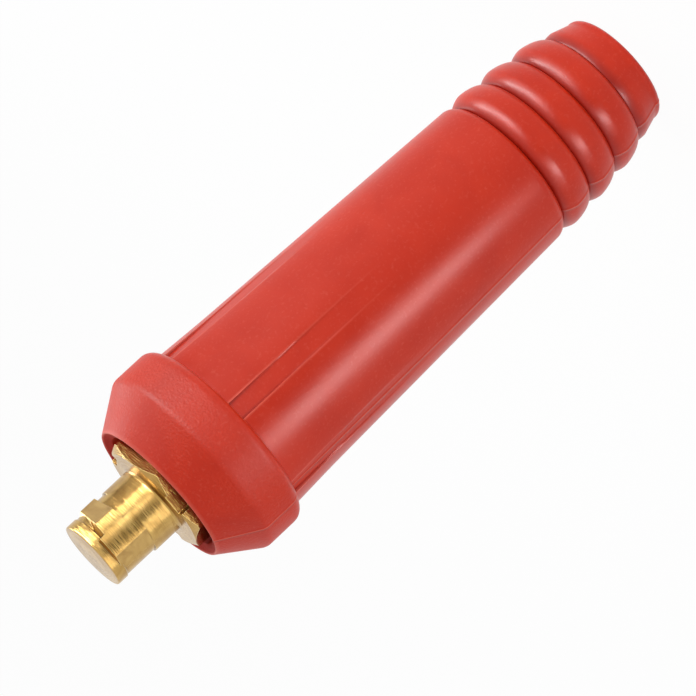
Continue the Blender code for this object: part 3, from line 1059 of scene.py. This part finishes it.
def screw_hole_cutter(height):
    bm = bmesh.new()
    reach = barrel_radius + screw_hole_overshoot
    bmesh.ops.create_cone(
        bm, segments=96, radius1=screw_hole_radius, radius2=screw_hole_radius,
        depth=reach, cap_ends=True, matrix=Matrix.Translation((0.0, 0.0, reach / 2)))
    bmesh.ops.transform(bm, matrix=screw_frame(height), verts=bm.verts)
    return piece_from("screw_hole_cutter", bm)


# Settings


def number(name, description, default, **options):
    return FloatProperty(name=name, description=description, default=default, **options)


def length(name, description, default):
    return number(name, description, default, unit="LENGTH", precision=5)


def power(name, description, default):
    return number(name, description, default, unit="POWER")


def colour(name, description, default):
    return FloatVectorProperty(
        name=name, description=description, default=default, subtype="COLOR", min=0.0, max=1.0)


class PlugStageSettings(bpy.types.PropertyGroup):
    floor_size: length("Floor Size", "Length of each side of the floor", 6.0)
    floor_colour: colour("Floor Colour", "Colour of the floor", (0.94, 0.94, 0.94))
    floor_glow: number("Floor Glow", "Share of the floor that shows plain white", 0.96)
    key_power: power("Key Power", "Power of the main lamp", 0.48)
    fill_power: power("Fill Power", "Power of the soft lamp in front", 0.39)
    side_power: power("Side Power", "Power of the long side lamp", 1.1)
    strip_power: power("Strip Power", "Power of the narrow lamp", 0.034)
    nose_power: power("Nose Power", "Power of the nose's small lamp", 0.0026)
    high_power: power("High Power", "Power of the high lamp", 0.1)
    ring_power: power("Ring Power", "Power of the lamp for the rings", 0.42)
    rear_power: power("Rear Power", "Power of the lamp behind", 0.28)
    world_level: number("World Level", "Strength of the plain world light", 0.38)


class PlugFinishSettings(bpy.types.PropertyGroup):
    rubber_colour: colour("Rubber", "Colour of the boot", (0.6, 0.026, 0.004))
    rubber_shade: colour("Rubber Shade", "Darker cloud in the boot's colour", (0.55, 0.021, 0.003))
    # Pale bloom of the rubber, also the colour of the highlights painted on its edges
    rubber_bloom_and_highlight: colour("Rubbed Rubber", "Pale edges and bloom", (0.78, 0.16, 0.11))
    # Colour of the shade painted into the boot's hollows and inside
    rubber_painted_shade: colour("Rubber Hollow", "Colour deep in the grooves", (0.24, 0.006, 0.004))
    brass_colour: colour("Brass", "Colour of the contact", (0.56, 0.36, 0.115))
    brass_stain: colour("Brass Stain", "Warm stain on the contact", (0.3, 0.15, 0.035))
    brass_edge: colour("Brass Edge", "Colour of rubbed edges", (0.9, 0.72, 0.36))
    # Colour of the shade painted into the contact's corners
    brass_painted_shade: colour("Brass Grime", "Dark grime in the contact's corners", (0.1, 0.05, 0.014))
    zinc_colour: colour("Zinc", "Colour of the screws", (0.62, 0.63, 0.65))
    zinc_cloud: colour("Zinc Cloud", "Cloud in the plating", (0.5, 0.52, 0.55))
    copper_colour: colour("Copper", "Colour of the ferrule", (0.82, 0.42, 0.27))
    copper_bloom: colour("Copper Bloom", "Darker bloom on the ferrule", (0.55, 0.24, 0.14))


class PlugBootSettings(bpy.types.PropertyGroup):
    collar_diameter: length("Collar Diameter", "Widest diameter, across the collar", 26.65 * mm)
    channel_width: length("Channel Width", "Width of the channels along the grip", 2.45 * mm)
    channel_depth: length("Channel Depth", "Depth of the channels at the collar", 0.4 * mm)
    seam_height: length("Seam Height", "Height of the mould's parting line", 0.07 * mm)
    row_spacing: length("Row Spacing", "Distance between the mesh's rows", 0.5 * mm)
    column_spacing: number("Column Spacing", "Degrees between the mesh's columns", 1.3)


class PlugContactSettings(bpy.types.PropertyGroup):
    facets: IntProperty(
        name="Facets", description="Facets round the turned contact", default=192, min=24)


class PlugScrewSettings(bpy.types.PropertyGroup):
    facets: IntProperty(name="Facets", description="Facets round each screw", default=64, min=12)
    thread_pitch: length("Thread Pitch", "Rise of the thread in one turn", 0.8 * mm)
    thread_depth: length("Thread Depth", "Height of the thread over the core", 0.35 * mm)


class PlugFerruleSettings(bpy.types.PropertyGroup):
    wall: length("Wall", "Thickness of the rolled sheet", 0.4 * mm)
    edge_radius: length("Edge Radius", "Rounding of the sheet's edges", 0.08 * mm)


# Operators


class PLUG_OT_stage(bpy.types.Operator):
    """Build the floor, the camera, the lamps and the world"""
    bl_idname = "plug.stage"
    bl_label = "Build Stage"

    def execute(self, context):
        settings = context.scene.plug_stage
        scene = context.scene
        scene.view_settings.view_transform = "Standard"
        self.add_camera(scene)
        self.add_floor(settings)
        self.add_world(scene, settings)
        self.add_lamps(settings)
        self.add_card("dark_card", direction(21.0) * 0.12, size=(0.07, 0.065), level=0.03)
        pale_place = direction(-82.0) * 0.045 + Vector((0.0, 0.0, nose_tip_z)) * 0.6
        self.add_card("pale_card", pale_place, size=(0.05, 0.034), level=0.45)
        return {"FINISHED"}

    def add_camera(self, scene):
        lens = bpy.data.cameras.new("photo_camera")
        lens.sensor_width = 36.0
        lens.lens = focal_pixels / image_width * lens.sensor_width
        lens.clip_start = 0.01
        camera = bpy.data.objects.new("photo_camera", lens)
        camera.location = camera_place
        camera.rotation_euler = [math.radians(angle) for angle in camera_turn]
        scene.collection.objects.link(camera)
        scene.camera = camera

    def add_lamps(self, settings):
        """The soft lamps that light the plug, and the lamps that only show in its gloss."""
        middle = Vector((0.0, 0.0, lip_z * 0.5))
        nose = Vector((0.0, 0.0, nose_tip_z))
        fill_place = direction(50.0) * 0.35 + nose * 1.6
        ring_place = direction(-38.0) * 0.3 + nose * 1.8
        lamps = (
            ("key", (0.27, -0.14, 0.09), middle, (0.4, 0.14), "soft"),
            ("fill", fill_place, middle, (0.3, 0.3), "soft"),
            ("side", (0.275, -0.08, 0.12), middle, (0.36, 0.035), "gloss"),
            ("strip", (-0.05, -0.056, 0.029), middle, (0.018, 0.044), "gloss"),
            ("nose", (0.013, -0.06, 0.066), nose, (0.016, 0.022), "gloss"),
            ("high", (0.23, -0.06, 0.3), middle, (0.2, 0.2), "soft"),
            ("ring", ring_place, middle, (0.2, 0.06), "gloss"),
            ("rear", (0.19, 0.18, 0.21), nose, (0.12, 0.12), "soft"),
        )
        for name, place, target, size, kind in lamps:
            data = bpy.data.lights.new(f"{name}_lamp", "AREA")
            data.shape = "RECTANGLE"
            data.size, data.size_y = size
            data.energy = getattr(settings, f"{name}_power")
            lamp = bpy.data.objects.new(f"{name}_lamp", data)
            lamp.location = place
            lamp.rotation_euler = (target - Vector(place)).to_track_quat("-Z", "Y").to_euler()
            lamp.visible_diffuse = kind == "soft"
            bpy.context.scene.collection.objects.link(lamp)

    def add_card(self, name, place, size, level):
        """A card that only gloss sees, as set beside metal; place is the middle of its foot."""
        up = Vector((0.0, 0.0, 1.0))
        side = place.cross(up).normalized() * size[0] / 2
        rise = up * size[1]
        corners = [place - side, place + side, place + side + rise, place - side + rise]
        mesh = bpy.data.meshes.new(name)
        mesh.from_pydata(corners, [], [(0, 1, 2, 3)])
        finish, tree, shader = new_finish(name)
        feed(tree, shader, {"Base Color": Color((level, level, level)), "Roughness": 0.9})
        card = new_piece(name, mesh, finish)
        card.visible_camera = False
        card.visible_diffuse = False
        card.visible_transmission = False
        card.visible_shadow = False

    def seen_share(self, tree):
        """1 for the rays that show the background: from the camera, and in gloss and glass."""
        path = add_node(tree, "ShaderNodeLightPath").outputs
        mirrored = maths(tree, "MAXIMUM", path["Is Glossy Ray"], path["Is Transmission Ray"])
        return maths(tree, "MAXIMUM", path["Is Camera Ray"], mirrored)

    def add_floor(self, settings):
        half = settings.floor_size / 2
        corners = [(-half, -half, 0), (half, -half, 0), (half, half, 0), (-half, half, 0)]
        mesh = bpy.data.meshes.new("floor")
        mesh.from_pydata(corners, [], [(0, 1, 2, 3)])
        finish, tree, shader = new_finish("pale_floor")
        feed(tree, shader, {"Base Color": settings.floor_colour, "Roughness": 0.6})
        glow = add_node(tree, "ShaderNodeEmission", {"Color": Color((1.0, 1.0, 1.0))})
        mixed = add_node(tree, "ShaderNodeMixShader", {
            "Fac": maths(tree, "MULTIPLY", self.seen_share(tree), settings.floor_glow),
            1: shader.outputs["BSDF"],
            2: glow.outputs["Emission"],
        })
        feed(tree, tree.nodes["Material Output"], {"Surface": mixed.outputs["Shader"]})
        floor = new_piece("floor", mesh, finish)

    def add_world(self, scene, settings):
        world = bpy.data.worlds.new("plain_world")
        world.use_nodes = True
        tree = world.node_tree
        level = settings.world_level
        strength = maths(tree, "MULTIPLY_ADD", self.seen_share(tree), 1.0 - level, level)
        white = Color((1.0, 1.0, 1.0))
        feed(tree, tree.nodes["Background"], {"Color": white, "Strength": strength})
        scene.world = world


class PLUG_OT_boot(bpy.types.Operator):
    """Build the moulded rubber boot"""
    bl_idname = "plug.boot"
    bl_label = "Build Boot"

    def execute(self, context):
        mesh = make_boot_mesh(context.scene.plug_boot)
        boot = new_piece("moulded_boot", mesh, red_rubber(context.scene.plug_finish))
        shade(boot, sharp_angle=40.0)
        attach(boot, "boot")
        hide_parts("rubber_boot")
        return {"FINISHED"}


class PLUG_OT_contact(bpy.types.Operator):
    """Build the turned and milled brass contact"""
    bl_idname = "plug.contact"
    bl_label = "Build Contact"

    def execute(self, context):
        finish = turned_brass(context.scene.plug_finish)
        facets = context.scene.plug_contact.facets
        contact = turn_outline("turned_contact", contact_outline(), facets, finish)
        cutters = [flats_cutter()] + notch_cutters()
        cutters += [screw_hole_cutter(height) for height in screw_heights]
        additions = [
            land_part(),
            lug_part(
                "lug_long", lug_step_angle, lug_flat_angle,
                lug_long_start, lug_long_end, lug_long_chamfer, 0.0),
            lug_part(
                "lug_short", -lug_flat_angle, lug_step_angle,
                lug_short_start, lug_short_end, lug_short_chamfer, lug_helix_rise),
        ]
        for tool in cutters:
            boolean(contact, tool, "DIFFERENCE")
        for tool in additions:
            boolean(contact, tool, "UNION")
        settle_modifiers(contact)
        remove_tools(cutters + additions)
        paint(contact, finish)
        shade(contact, sharp_angle=28.0)
        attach(contact, "contact")
        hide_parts("brass_contact")
        return {"FINISHED"}


class PLUG_OT_screws(bpy.types.Operator):
    """Build the two headless clamp screws with their threads"""
    bl_idname = "plug.screws"
    bl_label = "Build Screws"

    def execute(self, context):
        settings = context.scene.plug_screw
        finish = plated_steel(context.scene.plug_finish)
        for screw_number, height in enumerate(screw_heights, 1):
            screw = self.make_screw(f"threaded_screw_{screw_number}", settings, finish)
            screw.data.transform(screw_frame(height))
            shade(screw, sharp_angle=30.0)
            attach(screw, f"screw_{screw_number}")
            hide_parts(f"clamp_screw_{screw_number}")
        return {"FINISHED"}

    def make_screw(self, name, settings, finish):
        core = screw_radius - settings.thread_depth
        bevel = screw_chamfer / 2
        outline = [
            (0.0, screw_tip), (core - bevel, screw_tip), (core, screw_tip + bevel),
            (core, screw_head - bevel), (core - bevel, screw_head), (0.0, screw_head),
        ]
        screw = turn_outline(name, outline, settings.facets, finish)
        half_side = math.radians(hexagon_half_side)
        socket_radius = screw_socket_across_flats / 2 / math.cos(half_side)
        socket_floor = screw_head - screw_socket_depth
        bm = prism(hexagon(socket_radius, 0.0), socket_floor, screw_head + cutter_overshoot)
        socket = piece_from("socket_cutter", bm)
        boolean(screw, socket, "DIFFERENCE")
        settle_modifiers(screw)
        thread = new_piece("thread", bpy.data.meshes.new("thread"))
        ridge = settings.thread_depth * thread_fullness
        run = screw_head - screw_tip - 2 * ridge
        turns = run / settings.thread_pitch
        values = {"Turns": turns, "Length": run, "Core Radius": core, "Ridge": ridge}
        grow(thread, "Screw thread", {**values, "Finish": finish})
        thread.data.transform(Matrix.Translation((0.0, 0.0, screw_tip + ridge)))
        bm = bmesh.new()
        bm.from_mesh(screw.data)
        bm.from_mesh(thread.data)
        bm.to_mesh(screw.data)
        bm.free()
        paint(screw, finish)
        remove_tools([socket, thread])
        return screw


class PLUG_OT_ferrule(bpy.types.Operator):
    """Build the rolled copper ferrule"""
    bl_idname = "plug.ferrule"
    bl_label = "Build Ferrule"

    def execute(self, context):
        settings = context.scene.plug_ferrule
        steps = 96
        slit_angle = math.degrees(ferrule_slit / ferrule_radius)
        first = 180.0 + slit_angle / 2
        sweep = 360.0 - slit_angle
        sides = [direction(first + sweep * i / steps) for i in range(steps + 1)]
        outer = [side * ferrule_radius for side in sides]
        inner = [side * (ferrule_radius - settings.wall) for side in sides]
        bm = walled_ring(outer, inner, ferrule_low.z, ferrule_high.z, False)
        ferrule = piece_from("rolled_ferrule", bm, rolled_copper(context.scene.plug_finish))
        rounding = ferrule.modifiers.new("Rounded edges", "BEVEL")
        rounding.width = settings.edge_radius
        rounding.segments = 3
        rounding.limit_method = "ANGLE"
        rounding.angle_limit = math.radians(40.0)
        settle_modifiers(ferrule)
        shade(ferrule, sharp_angle=30.0)
        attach(ferrule, "contact")
        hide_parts("cable_ferrule")
        return {"FINISHED"}


class PLUG_PT_pieces(bpy.types.Panel):
    """The plug's pieces and their sizes"""
    bl_idname = "PLUG_PT_pieces"
    bl_label = "Welding Cable Plug"
    bl_space_type = "VIEW_3D"
    bl_region_type = "UI"
    bl_category = "Plug"

    def draw(self, context):
        groups = (
            ("plug.stage", context.scene.plug_stage),
            ("plug.boot", context.scene.plug_boot),
            ("plug.contact", context.scene.plug_contact),
            ("plug.screws", context.scene.plug_screw),
            ("plug.ferrule", context.scene.plug_ferrule),
            (None, context.scene.plug_finish),
        )
        for operator, settings in groups:
            box = self.layout.box()
            if operator:
                box.operator(operator)
            for name in settings.__annotations__:
                box.prop(settings, name)


settings_groups = {
    "plug_stage": PlugStageSettings,
    "plug_finish": PlugFinishSettings,
    "plug_boot": PlugBootSettings,
    "plug_contact": PlugContactSettings,
    "plug_screw": PlugScrewSettings,
    "plug_ferrule": PlugFerruleSettings,
}
tools = (
    PLUG_OT_stage, PLUG_OT_boot, PLUG_OT_contact, PLUG_OT_screws, PLUG_OT_ferrule, PLUG_PT_pieces)


def register():
    for name, group in settings_groups.items():
        bpy.utils.register_class(group)
        setattr(bpy.types.Scene, name, PointerProperty(type=group))
    for tool in tools:
        bpy.utils.register_class(tool)


def unregister():
    for tool in reversed(tools):
        bpy.utils.unregister_class(tool)
    for name, group in reversed(settings_groups.items()):
        delattr(bpy.types.Scene, name)
        bpy.utils.unregister_class(group)


def main():
    register()
    bpy.ops.plug.stage()
    bpy.ops.plug.boot()
    bpy.ops.plug.contact()
    bpy.ops.plug.screws()
    bpy.ops.plug.ferrule()


if __name__ == "__main__":
    main()
